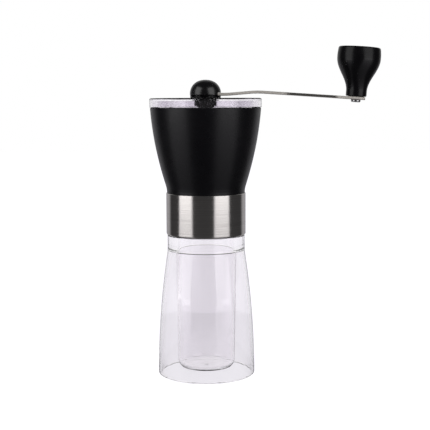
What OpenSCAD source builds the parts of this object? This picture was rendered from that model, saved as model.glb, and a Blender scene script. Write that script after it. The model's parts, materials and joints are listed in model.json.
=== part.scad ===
// Hand crank coffee grinder: clear container, steel band, flared hopper, clear lid and a crank with a knob.
// Frame: origin at the centre of the foot, +Z up the main axis, the crank arm points along +X. Millimetres.

/* [Container] */
// Width across the foot of the clear container
foot_d = 63.5; // [52:0.5:78]
// Height of the clear container up to the shoulder that the band sits over
container_h = 92.2; // [74:0.2:112]
// Thickness of the clear skirt and cup walls
clear_wall = 1.7; // [1.2:0.1:2.2]

/* [Body] */
// Outside width of the steel band
band_d = 52; // [43:0.5:62]
// Height of the steel band
band_h = 27.3; // [22:0.1:33]
// Outside width of the hopper at its rim
rim_d = 72.2; // [59:0.2:87]
// Height of the flared hopper above the band
hopper_h = 55.4; // [46:0.2:67]
// Thickness of the hopper's outer wall
shell_wall = 2; // [1.5:0.1:2.4]

/* [Lid] */
// Height of the clear lid above the hopper rim
lid_h = 6; // [5:0.2:8]

/* [Crank] */
// Distance from the main axis to the knob's axis
crank_reach = 97.5; // [80:0.5:118]
// Width of the steel arm at the hub
arm_w = 12; // [10:0.5:14]
// Width of the steel arm along its slope
arm_slim_w = 9; // [7:0.5:12]
// Thickness of the steel arm
arm_t = 1.8; // [1.4:0.1:2.2]
// Width of the dome over the hub
dome_d = 20.3; // [18:0.1:24.5]

/* [Knob] */
// Largest width of the knob
knob_d = 28; // [22:0.2:34]
// Height of the knob
knob_h = 31.5; // [26:0.5:39]

/* [Drive] */
// Diameter of the drive shaft
shaft_d = 6; // [5:0.1:7.2]
// Pitch of the container's screw thread
thread_pitch = 3; // [2.6:0.1:3.2]
// Number of small teeth around each burr
teeth = 28; // [20:1:32]

/* [Fits] */
// Radial clearance of a shaft that turns in a hole
running_fit = 0.06; // [0.03:0.01:0.09]
// Gap between faces that slide or turn past each other
slip_gap = 0.3; // [0.25:0.05:0.35]

/* [Hidden] */
$fn = 96;
tiny = 0.01;

// Colours
clear_plastic = [0.87, 0.86, 0.91, 0.4];
black_plastic = [0.06, 0.055, 0.06];
steel = [0.75, 0.73, 0.71];
ceramic = [0.93, 0.92, 0.88];
nylon = [0.85, 0.84, 0.8];
silicone = [0.55, 0.55, 0.56];

// Radii from the band outwards and inwards
band_sheet = 0.5;
glue_gap = 0.05;
band_r = band_d / 2;
collar_r = band_r - band_sheet - glue_gap;
waist_r = band_r - 0.7;
neck_r = collar_r - 3.05;
thread_rise = 0.9;
bore_r = neck_r + thread_rise + slip_gap;
neck_bore_r = neck_r - 1.5;
foot_r = foot_d / 2;
rim_r = rim_d / 2;
lid_r = rim_r + 0.35;
mouth_r = rim_r - 4.7;
shaft_r = shaft_d / 2;

// Heights of the container
foot_round = 0.8;
flare_low = 4.5;
waist_h = 7.7;
z_waist = container_h - waist_h;
z_roof = container_h - 9.8;
cup_under = 4;
cup_corner = 5;
roof_round = 0.4;
cup_top_r = waist_r - 5.5;
cup_foot_r = cup_top_r - 1;

// Heights of the body
z_band = container_h + slip_gap;
z_band_top = z_band + band_h;
floor_t = 4;
z_floor = z_band_top - floor_t + 0.2;
z_floor_top = z_floor + floor_t;
z_rim = z_band_top + hopper_h;
z_shell_rim = z_rim - 0.2;
lip_t = 2;
seal_t = 1.6;
z_neck_top = z_floor - seal_t;
z_collar = z_band + 0.45;

// Thread between the container's neck and the hopper's collar
thread_turns = 1.1;
thread_z = container_h + 9;
thread_root_half = 0.85;
thread_crest_half = 0.45;
thread_steps = 36;

// Burr set, hung from the hopper floor
flange_t = 2.8;
carrier_r = neck_bore_r - 0.5;
screw_ring_r = carrier_r - 1.9;
screw_head_r = 1.6;
carrier_body_r = screw_ring_r - screw_head_r - 0.2;
ring_r = carrier_body_r - 1.5;
throat_r = ring_r - 0.6;
ring_h = 15.5;
z_ring = z_floor - ring_h;
z_carrier = z_ring - 1.5;
land_h = 3.5;
land_slope = 0.25;
ring_low_r = ring_r - 1.7;
ring_land_r = ring_low_r - land_slope * land_h;
ring_waist_r = ring_land_r - 0.5;
burr_gap = 0.35;
z_cone = z_carrier - 0.2;
cone_h = 13.2;
core_r = shaft_r + 1.9;
cone_top_r = core_r + 1.7;
core_flange_t = 1.6;
core_flange_r = core_r + 3.1;
z_core = z_cone - core_flange_t;
z_core_top = z_cone + cone_h + 1;
peg_r = 0.9;
peg_ring_r = core_r + 2;
click_t = 0.8;
z_click = z_core - click_t;
nut_t = 3.7;
z_nut = z_click - 0.1 - nut_t;
nut_r = core_flange_r + 1.5;

// Bearing bridge in the liner
liner_wall = 1.5;
z_liner_wall = z_rim - 9.2;
hub_r = shaft_r + 2.8;
bush_r = shaft_r + 1.2;
bush_flange_t = 0.8;
bush_l = 5;
z_hub = z_floor + 6;
hub_l = 18;
z_hub_top = z_hub + hub_l;
washer_t = 0.7;
z_washer = z_hub - bush_flange_t - 0.1 - washer_t;
spring_wire = 1.2;
spring_r = core_r + 0.1 - spring_wire / 2 + 0.6;
z_clip = z_hub_top + bush_flange_t + 0.1;
clip_t = 0.8;

// Drive shaft
hex_r = shaft_r;
hex_gap = 0.12;
stud_r = shaft_r - 0.5;
z_stud = z_nut - 1.1;
z_drive = z_core;
z_shaft_top = z_rim + 1.8;
z_top_hex = z_shaft_top - 7;

// Lid
z_lid_top = z_rim + lid_h;
lid_plate = 1.8;
lid_rim_wall = 1.75;
plug_wall = 1.2;
plug_drop = 4.7;
hub_neck_r = dome_d / 2 - 2.85;
lid_hole_r = hub_neck_r + slip_gap;

// Crank
z_hub_flange = z_lid_top + 0.1;
hub_flange_t = 1.4;
z_arm = z_hub_flange + hub_flange_t;
dome_r = dome_d / 2;
dome_base_r = dome_r - 0.2;
dome_wall = 1.5;
dome_top = 10.3;
dome_low = 0.8;
dome_fullness = 2.2;
slot_gap = 0.2;
boss_w = 7;
stem_r = hub_neck_r - 1.7;
rise_slope = tan(4.8);
tilt = 3.8;
fall_slope = tan(tilt);
first_bend = dome_r + 3;
first_bend_l = 3;
second_bend = 0.293 * crank_reach;
second_bend_l = 0.09 * crank_reach;
arm_steps = 48;
eye_r = 6;

// Knob, in its own frame: origin where its axis meets the arm's middle, z along its axis
knob_r = knob_d / 2;
knob_neck_r = knob_r * 0.478;
knob_base = arm_t / 2 + 0.3;
knob_top = knob_base + knob_h;
axle_r = 2.5;
axle_end_r = 2;
axle_head_r = 3.1;
axle_head_t = 1.7;
cavity_floor = knob_base + knob_h * 0.6;
cavity_r = knob_r * 0.46;
cap_t = 1.9;
cap_r = cavity_r + 1.5;

// Radius of a flared wall, s along the axis from its narrow end: vertical at first, steepest after
// `blend`, then easing to `end_slope` at the wide end.
function flare_slope(l, blend, r0, r1, end_slope) = (2 * (r1 - r0) - (l - blend) * end_slope) / l;
function flare_r(s, l, blend, r0, r1, end_slope) =
    let (m = flare_slope(l, blend, r0, r1, end_slope), t = s - blend)
    s < blend ? r0 + m * s * s / (2 * blend)
              : r0 + m * blend / 2 + m * t + (end_slope - m) * t * t / (2 * (l - blend));

function arc(c, r, a0, a1, n) = [for (i = [0 : n]) let (a = a0 + (a1 - a0) * i / n) c + r * [cos(a), sin(a)]];

function skirt_r(z) =
    z > z_waist ? waist_r
    : z < flare_low ? foot_r
    : flare_r(z_waist - z, z_waist - flare_low, 5, waist_r, foot_r, 0.01);

function hopper_r(z) = flare_r(z - z_band_top, z_rim - z_band_top, 5, collar_r, rim_r, 0.075);

function funnel_r(z) =
    z > z_liner_wall ? mouth_r
    : flare_r(max(z - z_floor_top, 0), z_liner_wall - z_floor_top, 3, throat_r, mouth_r, 0.2);

function steps(a, b, n) = [for (i = [0 : n]) a + (b - a) * i / n];

// Height gained along x by a bend that starts at `a`, is `l` long and ends with slope `m`
function ramp(x, a, l, m) = x < a ? 0 : x < a + l ? m * (x - a) * (x - a) / (2 * l) : m * (x - a - l / 2);
function arm_z(x) =
    z_arm + arm_t / 2 + ramp(x, first_bend, first_bend_l, rise_slope)
    - ramp(x, second_bend, second_bend_l, rise_slope + fall_slope);

// Knob radius, t from its top
function knob_profile(t) =
    let (bulge = 0.185 * knob_h, waist0 = 0.225 * knob_h, waist_l = 0.666 * knob_h)
    t < bulge ? knob_r - 0.045 * knob_r * pow((bulge - t) / bulge, 2)
    : t < waist0 ? knob_r
    : t < waist0 + waist_l
        ? knob_neck_r + (knob_r - knob_neck_r) * (1 + cos(180 * (t - waist0) / waist_l)) / 2
    : knob_neck_r;

module spin(points, angle = 360) {
    rotate_extrude(angle = angle) polygon(points);
}

module ring(r_in, r_out, z0, z1) {
    spin([[r_in, z0], [r_out, z0], [r_out, z1], [r_in, z1]]);
}

module around(n, first = 0) {
    for (i = [0 : n - 1]) rotate(first + i * 360 / n) children();
}

module at_knob() {
    translate([crank_reach, 0, arm_z(crank_reach)]) rotate([0, tilt, 0]) children();
}

// A sweep through closed rings of points, with flat ends
module sweep(rings) {
    n = len(rings[0]);
    last = len(rings) - 1;
    sides = [for (i = [0 : last - 1]) for (j = [0 : n - 1])
        [i * n + j, i * n + (j + 1) % n, (i + 1) * n + (j + 1) % n, (i + 1) * n + j]];
    polyhedron(
        [for (r = rings) for (p = r) p],
        concat(sides, [[for (j = [n - 1 : -1 : 0]) j]], [[for (j = [0 : n - 1]) last * n + j]]),
        convexity = 10);
}

// Screw rib on a wall of radius `root`; `side` is 1 for a rib that stands outwards and -1 inwards
module thread_rib(root, side, z0) {
    n = ceil(thread_steps * thread_turns);
    rings = [for (i = [0 : n]) let (
        a = 360 * thread_turns * i / n,
        z = z0 + thread_pitch * a / 360,
        fade = min(1, 0.15 + 6 * min(i, n - i) / n),
        crest = root + side * thread_rise * fade,
        foot = root - side * 0.4)
        [for (p = [[foot, -thread_root_half], [crest, -thread_crest_half],
                   [crest, thread_crest_half], [foot, thread_root_half]])
            [p[0] * cos(a), p[0] * sin(a), z + p[1]]]];
    sweep(side > 0 ? rings : [for (r = rings) [for (j = [3 : -1 : 0]) r[j]]]);
}

module container() {
    skirt_in = [for (z = steps(z_roof - roof_round, foot_round, 20)) [skirt_r(z) - clear_wall, z]];
    outer = concat(
        arc([foot_r - foot_round, foot_round], foot_round, -90, 0, 5),
        [for (z = steps(flare_low, z_waist, 26)) [skirt_r(z), z]],
        arc([waist_r - 0.5, container_h - 0.5], 0.5, 0, 90, 4));
    roof_edge = [[skirt_r(z_roof) - clear_wall - roof_round, z_roof]];
    neck = [
        [neck_r, container_h], [neck_r, z_neck_top - 0.4], [neck_r - 0.4, z_neck_top],
        [neck_bore_r + 0.4, z_neck_top], [neck_bore_r, z_neck_top - 0.4],
        [neck_bore_r, container_h + 5], [cup_top_r - clear_wall + 0.3, container_h + 2.5]];
    cup_in = concat(
        [[cup_top_r - clear_wall, z_roof]],
        arc([cup_foot_r - cup_corner, cup_under + cup_corner], cup_corner - clear_wall, 0, -90, 8),
        [[0, cup_under + clear_wall]]);
    cup_out = concat(
        [[0, cup_under]],
        arc([cup_foot_r - cup_corner, cup_under + cup_corner], cup_corner, -90, 0, 8),
        arc([cup_top_r + roof_round, z_roof - roof_round], roof_round, 180, 90, 3));
    color(clear_plastic) {
        spin(concat(outer, neck, cup_in, cup_out, roof_edge, skirt_in, [[foot_r - clear_wall + 0.3, 0]]));
        translate([0, 0, cup_under - 0.5]) cylinder(r = 1.2, h = 1);
        thread_rib(neck_r, 1, thread_z);
    }
}

module seal_ring() {
    color(silicone) ring(neck_bore_r + 0.1, neck_r + 0.5, z_neck_top, z_floor);
}

module hopper_shell() {
    wall_in = [for (z = steps(z_rim - lip_t, z_floor_top, 24)) [hopper_r(z) - shell_wall, z]];
    rebate_r = rim_r - 0.75;
    color(black_plastic) {
        difference() {
            spin(concat(
                [[collar_r - 1, z_collar], [collar_r, z_collar + 1]],
                [for (z = steps(z_band_top, z_shell_rim - 0.3, 30)) [hopper_r(z), z]],
                [[rim_r - 0.35, z_shell_rim], [rebate_r, z_shell_rim], [rebate_r, z_rim - lip_t]],
                wall_in,
                [[throat_r, z_floor_top], [throat_r, z_floor], [bore_r, z_floor],
                 [bore_r, z_collar + 0.5], [bore_r + 0.4, z_collar]]));
            around(3) translate([screw_ring_r, 0, z_floor - tiny]) cylinder(r = 1.25, h = 3.2, $fn = 32);
        }
        thread_rib(bore_r, -1, thread_z - thread_pitch / 2);
    }
}

module hopper_liner() {
    z_list = steps(z_floor_top, z_liner_wall, 24);
    inside = [for (z = z_list) [funnel_r(z), z]];
    outside = [for (i = [len(z_list) - 1 : -1 : 0]) [funnel_r(z_list[i]) + liner_wall, z_list[i]]];
    lip_r = rim_r - 0.8;
    color(black_plastic) {
        difference() {
            union() {
                spin(concat(inside,
                    [[mouth_r, z_rim], [lip_r, z_rim], [lip_r, z_rim - lip_t],
                     [mouth_r + liner_wall, z_rim - lip_t]],
                    outside));
                ring(0, hub_r, z_hub, z_hub_top);
                intersection() {
                    spin(concat([[0, z_floor_top]], [for (p = inside) [p[0] + liner_wall / 2, p[1]]],
                        [[0, z_liner_wall]]));
                    around(3, 90) rotate([90, 0, 0]) translate([0, 0, -1.3]) linear_extrude(2.6) polygon([
                        [1, z_hub + 1], [hub_r, z_hub + 1], [mouth_r, z_hub + 8],
                        [mouth_r, z_hub + 15], [hub_r, z_hub_top - 1], [1, z_hub_top - 1]]);
                }
            }
            translate([0, 0, z_hub - tiny]) cylinder(r = bush_r + glue_gap, h = bush_l + tiny);
            translate([0, 0, z_hub]) cylinder(r = shaft_r + 0.6, h = hub_l);
            translate([0, 0, z_hub_top - bush_l]) cylinder(r = bush_r + glue_gap, h = bush_l + tiny);
        }
    }
}

module steel_band() {
    inside_r = band_r - band_sheet;
    color(steel) spin(concat(
        [[band_r - 1.1, z_band], [band_r - 1, z_band]],
        arc([band_r - 1, z_band + 1], 1, -90, 0, 6),
        [[band_r, z_band_top - 0.2], [band_r - 0.2, z_band_top], [inside_r, z_band_top]],
        [for (p = arc([band_r - 1, z_band + 1], 1 - band_sheet, 0, -90, 6)) p],
        [[band_r - 1.1, z_band + band_sheet]]));
}

// Flanged bush; the flange lies below z = 0 and the sleeve above it
module bush() {
    spin([[shaft_r + running_fit, -bush_flange_t], [hub_r, -bush_flange_t], [hub_r, 0], [bush_r, 0],
          [bush_r, bush_l - 0.3], [bush_r - 0.3, bush_l], [shaft_r + running_fit, bush_l]]);
}

module upper_bush() {
    color(nylon) translate([0, 0, z_hub_top]) mirror([0, 0, 1]) bush();
}

module lower_bush() {
    color(nylon) translate([0, 0, z_hub]) bush();
}

module burr_carrier() {
    pocket_r = ring_r + glue_gap;
    color(black_plastic) difference() {
        union() {
            spin([[ring_low_r + 0.6, z_carrier], [carrier_body_r - 0.5, z_carrier],
                  [carrier_body_r, z_carrier + 0.5], [carrier_body_r, z_floor - flange_t],
                  [carrier_r, z_floor - flange_t], [carrier_r, z_floor], [pocket_r, z_floor],
                  [pocket_r, z_ring], [ring_low_r + 0.6, z_ring]]);
            around(3, 60) translate([pocket_r, 0, z_ring - 0.5]) cylinder(r = 0.8, h = ring_h - 1, $fn = 24);
        }
        around(3) translate([screw_ring_r, 0, z_floor - flange_t - 1])
            cylinder(r = 1.35, h = flange_t + 2, $fn = 32);
    }
}

module carrier_screws() {
    head_z = z_floor - flange_t;
    color(steel) around(3) translate([screw_ring_r, 0, 0]) difference() {
        spin([[0, head_z - 1.3], [screw_head_r - 0.4, head_z - 1.3], [screw_head_r, head_z - 0.8],
              [screw_head_r, head_z], [1.2, head_z], [1.2, z_floor + 2.6], [0.8, z_floor + 3], [0, z_floor + 3]],
            $fn = 32);
        for (a = [0, 90]) rotate(a) translate([-0.95, -0.2, head_z - 1.4]) cube([1.9, 0.4, 0.8]);
    }
}

// Square groove that runs up a cone from [r0, z0] to [r1, z1], leaning sideways by `lean` degrees
module groove(r0, z0, r1, z1, w, lean) {
    translate([r0, 0, z0]) rotate([lean, atan2(r1 - r0, z1 - z0), 0]) rotate(45)
        translate([-w / 2, -w / 2, -2]) cube([w, w, norm([r1 - r0, z1 - z0]) + 3]);
}

module ring_burr() {
    z_land = z_ring + land_h;
    z_waist_in = z_floor - 3.5;
    color(ceramic) difference() {
        spin([[ring_low_r, z_ring], [ring_r, z_ring], [ring_r, z_floor], [throat_r, z_floor],
              [ring_waist_r, z_waist_in], [ring_land_r, z_land]]);
        around(3, 60) translate([ring_r + glue_gap, 0, z_ring - 1])
            cylinder(r = 0.95, h = ring_h + 2, $fn = 24);
        around(teeth) groove(ring_low_r, z_ring, ring_waist_r, z_waist_in, 0.7, 8);
    }
}

module drive_shaft() {
    color(steel) difference() {
        union() {
            spin([[0, z_stud], [stud_r - 0.4, z_stud], [stud_r, z_stud + 0.4], [stud_r, z_drive + 1],
                  [0, z_drive + 1]]);
            translate([0, 0, z_drive]) cylinder(r = hex_r, h = z_washer - 3 - z_drive, $fn = 6);
            translate([0, 0, z_washer - 3]) cylinder(r = shaft_r, h = z_top_hex - z_washer + 3);
            translate([0, 0, z_top_hex]) cylinder(r = hex_r, h = z_shaft_top - z_top_hex, $fn = 6);
        }
        ring(shaft_r - 0.6, shaft_r + 1, z_clip - 0.05, z_clip + clip_t + 0.05);
    }
}

module retaining_clip() {
    color(steel) difference() {
        ring(shaft_r - 0.58, hub_r - 0.6, z_clip, z_clip + clip_t);
        translate([0, -1.6, z_clip - 1]) cube([hub_r, 3.2, clip_t + 2]);
    }
}

module thrust_washer() {
    color(steel) ring(shaft_r + 0.1, spring_r + spring_wire, z_washer, z_washer + washer_t);
}

module burr_spring() {
    turns = 4;
    wire_sides = 8;
    wire = spring_wire / 2;
    z0 = z_core_top + wire;
    rise = z_washer - z_core_top - spring_wire;
    n = turns * 20;
    rings = [for (i = [0 : n]) let (a = 360 * turns * i / n, z = z0 + rise * i / n)
        [for (j = [0 : wire_sides - 1]) let (b = -360 * j / wire_sides, r = spring_r + wire * cos(b))
            [r * cos(a), r * sin(a), z + wire * sin(b)]]];
    color(steel) sweep(rings);
}

module burr_core() {
    color(nylon) difference() {
        union() {
            ring(0, core_flange_r, z_core, z_cone);
            ring(0, core_r, z_core, z_core_top);
            around(3) translate([peg_ring_r, 0, z_cone - 0.5]) cylinder(r = peg_r, h = 2.1, $fn = 32);
        }
        translate([0, 0, z_core - 1]) cylinder(r = hex_r + hex_gap, h = z_core_top - z_core + 2, $fn = 6);
    }
}

module cone_burr() {
    z_land = z_ring + land_h;
    z_top = z_cone + cone_h;
    low_r = ring_low_r + land_slope * (z_ring - z_cone) - burr_gap;
    land_r = ring_land_r - burr_gap;
    color(ceramic) difference() {
        spin([[core_r + glue_gap, z_cone], [low_r, z_cone], [land_r, z_land], [cone_top_r, z_top],
              [core_r + glue_gap, z_top]]);
        around(3) translate([peg_ring_r, 0, z_cone - 1]) cylinder(r = peg_r + 0.1, h = 3.2, $fn = 32);
        around(teeth) groove(low_r, z_cone, land_r, z_land, 0.6, -12);
        around(7, 9) groove(land_r + 0.6, z_land, cone_top_r + 0.9, z_top, 2.8, -22);
    }
}

module click_plate() {
    color(steel) difference() {
        ring(shaft_r + 0.3, core_flange_r - 0.5, z_click, z_core);
        around(12) translate([core_flange_r - 0.3, 0, z_click - 1]) cylinder(r = 0.9, h = click_t + 2, $fn = 24);
    }
}

module adjuster_nut() {
    color(black_plastic) translate([0, 0, z_nut]) linear_extrude(nut_t) difference() {
        circle(r = nut_r);
        circle(r = stud_r + running_fit);
        around(9, 13) translate([nut_r + 1.2, 0]) circle(r = 2.2);
    }
}

module lid() {
    plug_r = mouth_r - slip_gap;
    z_under = z_lid_top - lid_plate;
    z_plug = z_rim - plug_drop;
    color(clear_plastic) spin(concat(
        [[lid_r - lid_rim_wall, z_rim], [lid_r - 0.3, z_rim], [lid_r, z_rim + 0.3]],
        arc([lid_r - 1, z_lid_top - 1], 1, 0, 90, 6),
        [[lid_hole_r + 0.4, z_lid_top], [lid_hole_r, z_lid_top - 0.4], [lid_hole_r, z_under],
         [plug_r - plug_wall, z_under], [plug_r - plug_wall, z_plug + 0.4], [plug_r - plug_wall + 0.3, z_plug],
         [plug_r - 0.4, z_plug], [plug_r, z_plug + 0.5], [plug_r, z_under],
         [lid_r - lid_rim_wall, z_under]]));
}

module crank_hub() {
    color(black_plastic) difference() {
        union() {
            spin([[0, z_top_hex], [stem_r - 0.5, z_top_hex], [stem_r, z_top_hex + 0.5],
                  [stem_r, z_rim + 0.9], [hub_neck_r, z_rim + 0.9], [hub_neck_r, z_hub_flange],
                  [dome_base_r - 0.2, z_hub_flange], [dome_base_r, z_hub_flange + 0.2],
                  [dome_base_r, z_arm], [0, z_arm]]);
            translate([-boss_w / 2, -boss_w / 2, z_arm - 1]) cube([boss_w, boss_w, arm_t + 1]);
        }
        translate([0, 0, z_top_hex - 1])
            cylinder(r = hex_r + hex_gap, h = z_shaft_top - z_top_hex + 1.2, $fn = 6);
        translate([0, 0, z_arm - 4.2]) cylinder(r = 2, h = arm_t + 5, $fn = 32);
    }
}

module crank_arm() {
    x_list = steps(-arm_w, crank_reach + arm_w, arm_steps);
    under = [for (x = x_list) [x, arm_z(x) - arm_t / 2]];
    over = [for (i = [arm_steps : -1 : 0]) [x_list[i], arm_z(x_list[i]) + arm_t / 2]];
    color(steel) difference() {
        intersection() {
            rotate([90, 0, 0]) translate([0, 0, -arm_w]) linear_extrude(2 * arm_w) polygon(concat(under, over));
            translate([0, 0, z_arm - 20]) linear_extrude(40) union() {
                circle(d = arm_w);
                translate([crank_reach, 0]) circle(r = eye_r);
                polygon([
                    [0, -arm_w / 2], [first_bend, -arm_w / 2], [second_bend, -arm_slim_w / 2],
                    [crank_reach, -arm_slim_w / 2], [crank_reach, arm_slim_w / 2],
                    [second_bend, arm_slim_w / 2], [first_bend, arm_w / 2], [0, arm_w / 2]]);
            }
        }
        translate([-boss_w / 2 - 0.1, -boss_w / 2 - 0.1, z_arm - 1])
            cube([boss_w + 0.2, boss_w + 0.2, arm_t + 2]);
        at_knob() translate([0, 0, -5]) cylinder(r = axle_r + 0.05, h = 10, $fn = 48);
    }
}

module hub_screw() {
    z0 = z_arm + arm_t;
    color(steel) difference() {
        spin([[0, z0 - 5.4], [1.5, z0 - 5.4], [1.9, z0 - 5], [1.9, z0], [5.6, z0], [5.6, z0 + 0.8],
              [4.2, z0 + 2.2], [0, z0 + 2.2]], $fn = 48);
        for (a = [0, 90]) rotate(a) translate([-2.2, -0.45, z0 + 1.2]) cube([4.4, 0.9, 2]);
    }
}

module crank_cap() {
    z_mid = z_arm + dome_low;
    h = dome_top - dome_low;
    full = 2 / dome_fullness;
    dome = function(r, height, a) [r * pow(cos(a), full), z_mid + height * pow(sin(a), full)];
    color(black_plastic) difference() {
        spin(concat(
            [[dome_base_r, z_arm]],
            [for (a = steps(0, 90, 18)) dome(dome_r, h, a)],
            [for (a = steps(90, 0, 18)) dome(dome_r - dome_wall, h - dome_wall, a)],
            [[dome_base_r - dome_wall, z_arm]]));
        translate([0, -arm_w / 2 - slot_gap, z_arm - 1])
            cube([dome_r + 1, arm_w + 2 * slot_gap, arm_t + 1 + slot_gap]);
    }
}

module knob_axle() {
    shoulder = cavity_floor + 0.3;
    color(steel) at_knob() difference() {
        spin([[0, -arm_t / 2 - axle_head_t], [axle_head_r - 0.5, -arm_t / 2 - axle_head_t],
              [axle_head_r, -arm_t / 2 - axle_head_t + 0.5], [axle_head_r, -arm_t / 2], [axle_r, -arm_t / 2],
              [axle_r, shoulder], [axle_end_r, shoulder], [axle_end_r, shoulder + 4.2],
              [axle_end_r - 0.4, shoulder + 4.6], [0, shoulder + 4.6]], $fn = 64);
        translate([-axle_head_r, -0.4, -arm_t / 2 - axle_head_t - 1]) cube([2 * axle_head_r, 0.8, 1.7]);
    }
}

module knob_washer() {
    color(nylon) at_knob() ring(axle_r + 0.1, knob_neck_r - 1.4, arm_t / 2, knob_base - 0.05);
}

module axle_washer() {
    color(steel) at_knob() ring(axle_end_r + 0.05, 4.2, cavity_floor + 0.3, cavity_floor + 1.1);
}

module axle_nut() {
    color(steel) at_knob() difference() {
        translate([0, 0, cavity_floor + 1.1]) cylinder(r = 4, h = 3, $fn = 6);
        translate([0, 0, cavity_floor]) cylinder(r = axle_end_r + 0.05, h = 6, $fn = 48);
    }
}

module knob() {
    edge = 0.7;
    top_r = knob_profile(0);
    outside = [for (t = steps(knob_h - 0.4, edge, 36)) [knob_profile(t), knob_top - t]];
    color(black_plastic) at_knob() spin(concat(
        [[axle_r + running_fit, knob_base], [knob_neck_r - 0.4, knob_base]],
        outside,
        arc([top_r - edge, knob_top - edge], edge, 60, 90, 3),
        [[cap_r + glue_gap, knob_top], [cap_r + glue_gap, knob_top - cap_t],
         [cavity_r, knob_top - cap_t], [cavity_r, cavity_floor], [axle_r + running_fit, cavity_floor]]));
}

module knob_cap() {
    color(black_plastic) at_knob() spin([[0, knob_top - cap_t], [cap_r, knob_top - cap_t],
        [cap_r, knob_top - 0.2], [cap_r - 0.2, knob_top], [0, knob_top]]);
}

container();
seal_ring();
hopper_shell();
hopper_liner();
steel_band();
upper_bush();
lower_bush();
burr_carrier();
carrier_screws();
ring_burr();
drive_shaft();
retaining_clip();
thrust_washer();
burr_spring();
burr_core();
cone_burr();
click_plate();
adjuster_nut();
lid();
crank_hub();
crank_arm();
hub_screw();
crank_cap();
knob_axle();
knob_washer();
axle_washer();
axle_nut();
knob();
knob_cap();
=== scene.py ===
import json
import math
import bpy
from mathutils import Matrix, Vector


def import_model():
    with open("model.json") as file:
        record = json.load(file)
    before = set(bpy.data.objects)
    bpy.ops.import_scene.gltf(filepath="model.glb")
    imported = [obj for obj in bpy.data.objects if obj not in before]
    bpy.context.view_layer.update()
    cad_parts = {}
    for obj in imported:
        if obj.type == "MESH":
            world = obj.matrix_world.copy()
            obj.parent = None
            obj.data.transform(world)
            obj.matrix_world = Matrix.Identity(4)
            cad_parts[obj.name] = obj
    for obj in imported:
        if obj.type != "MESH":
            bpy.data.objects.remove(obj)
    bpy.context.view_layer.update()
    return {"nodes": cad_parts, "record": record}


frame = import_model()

MM = 0.001


# ---------------------------------------------------------------- node helpers
def new_material(name):
    m = bpy.data.materials.new(name)
    m.use_nodes = True
    nt = m.node_tree
    return m, nt, nt.nodes["Principled BSDF"]


def add(nt, kind, **inputs):
    n = nt.nodes.new(kind)
    for key, value in inputs.items():
        n.inputs[key.replace("_", " ")].default_value = value
    return n


def position(nt, scale=(1, 1, 1)):
    """Object-space position, stretched by scale."""
    coord = nt.nodes.new("ShaderNodeTexCoord")
    mapping = nt.nodes.new("ShaderNodeMapping")
    mapping.inputs["Scale"].default_value = scale
    nt.links.new(coord.outputs["Object"], mapping.inputs["Vector"])
    return mapping.outputs["Vector"]


def noise(nt, vector, scale, detail=2.0, roughness=0.5):
    n = add(nt, "ShaderNodeTexNoise", Scale=scale, Detail=detail, Roughness=roughness)
    nt.links.new(vector, n.inputs["Vector"])
    return n.outputs["Fac"]


def remap(nt, value, low, high, from_low=0.3, from_high=0.7):
    """low up to from_low, high from from_high on, and a straight line between; the defaults suit a noise."""
    n = nt.nodes.new("ShaderNodeMapRange")
    n.inputs["From Min"].default_value = from_low
    n.inputs["From Max"].default_value = from_high
    n.inputs["To Min"].default_value = low
    n.inputs["To Max"].default_value = high
    nt.links.new(value, n.inputs["Value"])
    return n.outputs["Result"]


def ramp(nt, value, low, high):
    """A colour from low to high over the middle of a noise's range."""
    n = nt.nodes.new("ShaderNodeValToRGB")
    n.color_ramp.elements[0].position = 0.3
    n.color_ramp.elements[1].position = 0.7
    n.color_ramp.elements[0].color = (*low, 1)
    n.color_ramp.elements[1].color = (*high, 1)
    nt.links.new(value, n.inputs["Fac"])
    return n.outputs["Color"]


def components(nt, vector):
    """The X, Y and Z outputs of a vector."""
    n = nt.nodes.new("ShaderNodeSeparateXYZ")
    nt.links.new(vector, n.inputs["Vector"])
    return n.outputs


def calculate(nt, operation, *values):
    n = nt.nodes.new("ShaderNodeMath")
    n.operation = operation
    for socket, value in zip(n.inputs, values):
        nt.links.new(value, socket)
    return n.outputs["Value"]


def either(nt, a, b):
    """The larger of two values."""
    return calculate(nt, "MAXIMUM", a, b)


def constant(nt, level):
    n = nt.nodes.new("ShaderNodeValue")
    n.outputs["Value"].default_value = level
    return n.outputs["Value"]


def product(nt, a, b):
    return calculate(nt, "MULTIPLY", a, b)


def bump(nt, bsdf, height, distance, strength=1.0):
    n = add(nt, "ShaderNodeBump", Strength=strength, Distance=distance)
    nt.links.new(height, n.inputs["Height"])
    nt.links.new(n.outputs["Normal"], bsdf.inputs["Normal"])


# ---------------------------------------------------------------- materials
def moulded_plastic(name, low, high, rough, grain=0.02 * MM, specular=0.5):
    """Plastic with a fine moulded grain; grain is its depth."""
    m, nt, bsdf = new_material(name)
    bsdf.inputs["Specular IOR Level"].default_value = specular
    here = position(nt)
    nt.links.new(ramp(nt, noise(nt, here, 90, 3), low, high), bsdf.inputs["Base Color"])
    nt.links.new(remap(nt, noise(nt, here, 260, 3), *rough), bsdf.inputs["Roughness"])
    bump(nt, bsdf, noise(nt, here, 3800, 1), grain)
    return m


def clear_plastic(name, low, high, rough=(0.0, 0.03)):
    """Clear plastic; low and high are the tints that its surfaces give."""
    m, nt, bsdf = new_material(name)
    bsdf.inputs["Transmission Weight"].default_value = 1.0
    bsdf.inputs["IOR"].default_value = 1.49
    here = position(nt)
    nt.links.new(ramp(nt, noise(nt, here, 35, 2), low, high), bsdf.inputs["Base Color"])
    nt.links.new(remap(nt, noise(nt, here, 160, 3), *rough), bsdf.inputs["Roughness"])
    return m


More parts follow.
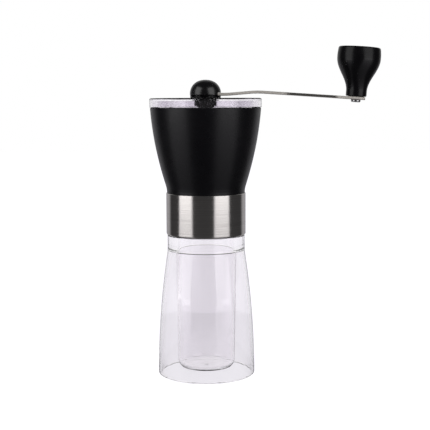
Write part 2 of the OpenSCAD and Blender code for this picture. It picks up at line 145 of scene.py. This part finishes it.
def brushed_steel(name, low, high, rough, stretch, streak, anisotropy=0.0, turn=0.0, depth=0.004 * MM):
    """Steel with fine streaks; stretch is large across the brushing and small along it."""
    m, nt, bsdf = new_material(name)
    bsdf.inputs["Metallic"].default_value = 1.0
    bsdf.inputs["Anisotropic"].default_value = anisotropy
    bsdf.inputs["Anisotropic Rotation"].default_value = turn
    if anisotropy:
        tangent = nt.nodes.new("ShaderNodeTangent")
        tangent.direction_type = "RADIAL"
        tangent.axis = "Z"
        nt.links.new(tangent.outputs["Tangent"], bsdf.inputs["Tangent"])
    streaks = noise(nt, position(nt, stretch), streak, 4, 0.6)
    nt.links.new(ramp(nt, streaks, low, high), bsdf.inputs["Base Color"])
    nt.links.new(remap(nt, streaks, *rough), bsdf.inputs["Roughness"])
    bump(nt, bsdf, streaks, depth)
    return m


def sheared_steel(name, low, high, smooth, coarse, smooth_from, smooth_to):
    """A stamped arm whose sheared edge is coarse near both ends and smooth between two places along X."""
    m = brushed_steel(name, low, high, smooth, (3, 30, 30), 60, 0.8)
    nt = m.node_tree
    bsdf = nt.nodes["Principled BSDF"]
    along = components(nt, position(nt))["X"]
    fade = 4 * MM
    hub_side = remap(nt, along, coarse, smooth[0], smooth_from - fade, smooth_from + fade)
    knob_side = remap(nt, along, smooth[0], coarse, smooth_to - fade, smooth_to)
    nt.links.new(either(nt, hub_side, knob_side), bsdf.inputs["Roughness"])
    return m


# painted shade: the darker black of the hub's own copy of the plastic
HUB_SHADED_BLACK = (0.003, 0.0028, 0.0035), (0.006, 0.0054, 0.0066)
KNOB_BLACK = (0.004, 0.0037, 0.005), (0.007, 0.0064, 0.008)
SOFT_GRAIN = 0.008 * MM
MATERIALS = {
    "black_plastic": moulded_plastic("black_plastic", (0.0055, 0.005, 0.007), (0.0085, 0.0078, 0.010),
                                     (0.27, 0.33), grain=0.01 * MM, specular=0.3),
    "knob_plastic": moulded_plastic("knob_plastic", *KNOB_BLACK, (0.22, 0.28), SOFT_GRAIN, specular=0.26),
    "black_liner": moulded_plastic("black_liner", (0.010, 0.010, 0.011), (0.016, 0.015, 0.017), (0.40, 0.52)),
    "nylon": moulded_plastic("nylon", (0.60, 0.58, 0.52), (0.68, 0.66, 0.60), (0.40, 0.50)),
    "ceramic": moulded_plastic("ceramic", (0.74, 0.72, 0.66), (0.82, 0.80, 0.75), (0.30, 0.45), 0.03 * MM),
    "silicone": moulded_plastic("silicone", (0.22, 0.22, 0.23), (0.28, 0.28, 0.29), (0.55, 0.70)),
    "clear_plastic": clear_plastic("clear_plastic", (0.974, 0.963, 0.976), (0.988, 0.979, 0.989)),
    "clear_lid": clear_plastic("clear_lid", (0.885, 0.865, 0.90), (0.905, 0.885, 0.92), (0.0, 0.012)),
    "brushed_steel": brushed_steel("brushed_steel", (0.57, 0.545, 0.52), (0.69, 0.665, 0.64), (0.14, 0.20),
                                   (0.2, 0.2, 26), 60, 0.6, 0.25, 0.002 * MM),
    "arm_steel": sheared_steel("arm_steel", (0.70, 0.67, 0.62), (0.84, 0.80, 0.75), (0.14, 0.20), 0.62,
                               51 * MM, 87.5 * MM),
    "bright_steel": brushed_steel("bright_steel", (0.45, 0.45, 0.46), (0.58, 0.58, 0.58), (0.12, 0.24),
                                  (1, 1, 20), 120),
    "spring_steel": brushed_steel("spring_steel", (0.35, 0.35, 0.36), (0.45, 0.45, 0.45), (0.2, 0.35),
                                  (1, 1, 5), 200),
}
# The hub gets a darker, less glossy copy of the black plastic, painted shade that keeps it black behind the
# clear lid, and the dome is glossier than the hopper
OWN_BLACK = {
    "crank_hub": moulded_plastic("hub_black_painted_shade", *HUB_SHADED_BLACK, (0.22, 0.28), specular=0.12),
    "crank_cap": moulded_plastic("dome_black", *KNOB_BLACK, (0.22, 0.28), SOFT_GRAIN, specular=0.75),
}
SLOTS = {part["node"]: part["material_slot"] for part in frame["record"]["subparts"]}
for node, obj in frame["nodes"].items():
    obj.data.materials.clear()
    obj.data.materials.append(OWN_BLACK.get(node, MATERIALS[SLOTS[node]]))


# ---------------------------------------------------------------- edges
def soften_edges(node, width, segments=2, angle=28):
    """Rounds a CAD node's sharp edges so that they catch the light; the node's own mesh stays as it is."""
    obj = frame["nodes"][node]
    obj.modifiers.new("weld", "WELD").merge_threshold = 0.002 * MM
    rounding = obj.modifiers.new("rounding", "BEVEL")
    rounding.width = width * MM
    rounding.segments = segments
    rounding.limit_method = "ANGLE"
    rounding.angle_limit = math.radians(angle)
    rounding.use_clamp_overlap = False
    rounding.harden_normals = True


# Widths of the rounded edges, in mm
EDGE_WIDTHS = {"crank_arm": 0.3, "crank_cap": 0.12, "hub_screw": 0.08, "axle_nut": 0.1, "knob_axle": 0.1}
for node, width in EDGE_WIDTHS.items():
    soften_edges(node, width)


# ---------------------------------------------------------------- stage
# Azimuths that the two soft lights span, in degrees from the camera's side towards +X
LIT_AZIMUTHS = ((-83, -38), (23, 71))
LIGHT_DISTANCE = 0.8
LIGHT_HEIGHT = 0.9
LIGHT_Z = 0.44
AIM_Z = 0.12
# Brightness of the dark room that the object mirrors, and that clear pieces mirror inside themselves
ROOM_DARK = 0.045
INNER_DARK = 0.14
WHITE = 1.1


def blend_by(nt, factor, low, high):
    """low where factor is 0 and high where it is 1."""
    return remap(nt, factor, low, high, 0.0, 1.0)


def window(nt, value, low, high, soft=0.06):
    """1 where value lies between low and high, 0 outside, with soft ends."""
    rise = remap(nt, value, 0.0, 1.0, low - soft / 2, low + soft / 2)
    fall = remap(nt, value, 1.0, 0.0, high - soft / 2, high + soft / 2)
    return product(nt, rise, fall)


def straight_through(nt, path):
    """1 for light that has passed clear pieces without being mirrored inside them."""
    unmirrored = blend_by(nt, path.outputs["Glossy Depth"], 1.0, 0.0)
    return product(nt, path.outputs["Is Transmission Ray"], unmirrored)


def painted_light_pools(nt):
    """Painted pools of light that the table glows with where the object mirrors it: bright below each of the
    two soft lights and grey far behind.
    """
    flipped = components(nt, position(nt, (1, -1, 1)))
    azimuth = calculate(nt, "ARCTAN2", flipped["X"], flipped["Y"])
    spans = [[math.radians(edge) for edge in span] for span in LIT_AZIMUTHS]
    left, right = (window(nt, azimuth, *span) for span in spans)
    off_front = calculate(nt, "ABSOLUTE", azimuth)
    behind = remap(nt, off_front, 0.0, 0.42, math.radians(118), math.radians(132))
    reach = nt.nodes.new("ShaderNodeVectorMath")
    reach.operation = "LENGTH"
    nt.links.new(position(nt), reach.inputs[0])
    far_off = remap(nt, reach.outputs["Value"], 0.25, 0.85, 0.15, 0.55)
    # painted pools of light: the table glows under each soft light, more strongly further from the object
    patches = product(nt, either(nt, left, right), far_off)
    return either(nt, either(nt, patches, behind), constant(nt, ROOM_DARK))


def behind_object(nt, strength):
    """The table behind the object, fading out towards the camera."""
    depth = components(nt, position(nt))["Y"]
    return remap(nt, depth, INNER_DARK, strength, -0.08, 0.0)


def table_material(name, seen_through):
    """Glows plain white to the eye, seen_through as bright through clear pieces, and with painted pools of
    light when mirrored.
    """
    m, nt, bsdf = new_material(name)
    path = nt.nodes.new("ShaderNodeLightPath")
    bsdf.inputs["Base Color"].default_value = (0.04, 0.04, 0.04, 1)
    bsdf.inputs["Roughness"].default_value = 0.9
    bsdf.inputs["Specular IOR Level"].default_value = 0.0
    bsdf.inputs["Emission Color"].default_value = (0.97, 0.955, 1.0, 1)
    seen = blend_by(nt, path.outputs["Is Camera Ray"], 0.0, WHITE)
    through = blend_by(nt, straight_through(nt, path), 0.0, seen_through)
    inner = product(nt, path.outputs["Is Transmission Ray"], behind_object(nt, seen_through))
    # the table glows with painted pools of light where the object mirrors it
    mirrored = product(nt, path.outputs["Is Glossy Ray"], painted_light_pools(nt))
    glow = either(nt, either(nt, seen, through), either(nt, inner, mirrored))
    nt.links.new(glow, bsdf.inputs["Emission Strength"])
    return m


def floor():
    """A pale table whose far edge lies a little behind the object."""
    side, far_edge = 3.0, 0.19
    mesh = bpy.data.meshes.new("floor")
    corners = [(-side, -side, 0), (side, -side, 0), (side, far_edge, 0), (-side, far_edge, 0),
               (side, side, 0), (-side, side, 0)]
    mesh.from_pydata(corners, [], [(0, 1, 2, 3), (3, 2, 4, 5)])
    mesh.materials.append(table_material("floor_near", 0.89))
    mesh.materials.append(table_material("floor_far", 1.0))
    mesh.polygons[1].material_index = 1
    obj = bpy.data.objects.new("floor", mesh)
    bpy.context.collection.objects.link(obj)


def world():
    """A white backdrop behind the object and a dark room on the camera's side; plain white to the eye."""
    w = bpy.data.worlds.new("studio")
    bpy.context.scene.world = w
    w.use_nodes = True
    nt = w.node_tree
    background = nt.nodes["Background"]
    coord = nt.nodes.new("ShaderNodeTexCoord")
    away = components(nt, coord.outputs["Generated"])["Y"]
    path = nt.nodes.new("ShaderNodeLightPath")
    seen = either(nt, path.outputs["Is Camera Ray"], straight_through(nt, path))
    inner = product(nt, path.outputs["Is Transmission Ray"], remap(nt, away, INNER_DARK, 1.0, 0.1, 0.45))
    mirrored = remap(nt, away, ROOM_DARK, 0.5, 0.5, 0.8)
    nt.links.new(either(nt, seen, either(nt, inner, mirrored)), background.inputs["Strength"])
    background.inputs["Color"].default_value = (1, 1, 1, 1)


def softbox(name, span, strength):
    """A tall soft light that fills the span of azimuths, seen from the object."""
    middle = math.radians(sum(span) / 2)
    half = math.radians(span[1] - span[0]) / 2
    data = bpy.data.lights.new(name, "AREA")
    data.shape = "RECTANGLE"
    data.size = 2 * LIGHT_DISTANCE * math.tan(half)
    data.size_y = LIGHT_HEIGHT
    data.energy = strength * math.pi * data.size * data.size_y
    obj = bpy.data.objects.new(name, data)
    obj.location = (LIGHT_DISTANCE * math.sin(middle), -LIGHT_DISTANCE * math.cos(middle), LIGHT_Z)
    aim = Vector((0, 0, AIM_Z)) - obj.location
    obj.rotation_mode = "QUATERNION"
    obj.rotation_quaternion = aim.to_track_quat("-Z", "Y")
    obj.visible_camera = False
    bpy.context.collection.objects.link(obj)


def camera():
    data = bpy.data.cameras.new("camera")
    data.sensor_width = 36
    data.lens = 83.7
    data.dof.use_dof = False
    obj = bpy.data.objects.new("camera", data)
    place = Matrix.Translation((0.0059, -0.6526, 0.1781))
    turn = Matrix.Rotation(math.radians(90 - 6.4), 4, "X") @ Matrix.Rotation(math.radians(-0.19), 4, "Z")
    obj.matrix_world = place @ turn
    bpy.context.collection.objects.link(obj)
    bpy.context.scene.camera = obj


def colour_management():
    view = bpy.context.scene.view_settings
    view.view_transform = "Standard"
    view.look = "None"
    view.exposure = 0
    view.gamma = 1


floor()
world()
softbox("light_left", LIT_AZIMUTHS[0], 1.45)
softbox("light_right", LIT_AZIMUTHS[1], 1.3)
camera()
colour_management()
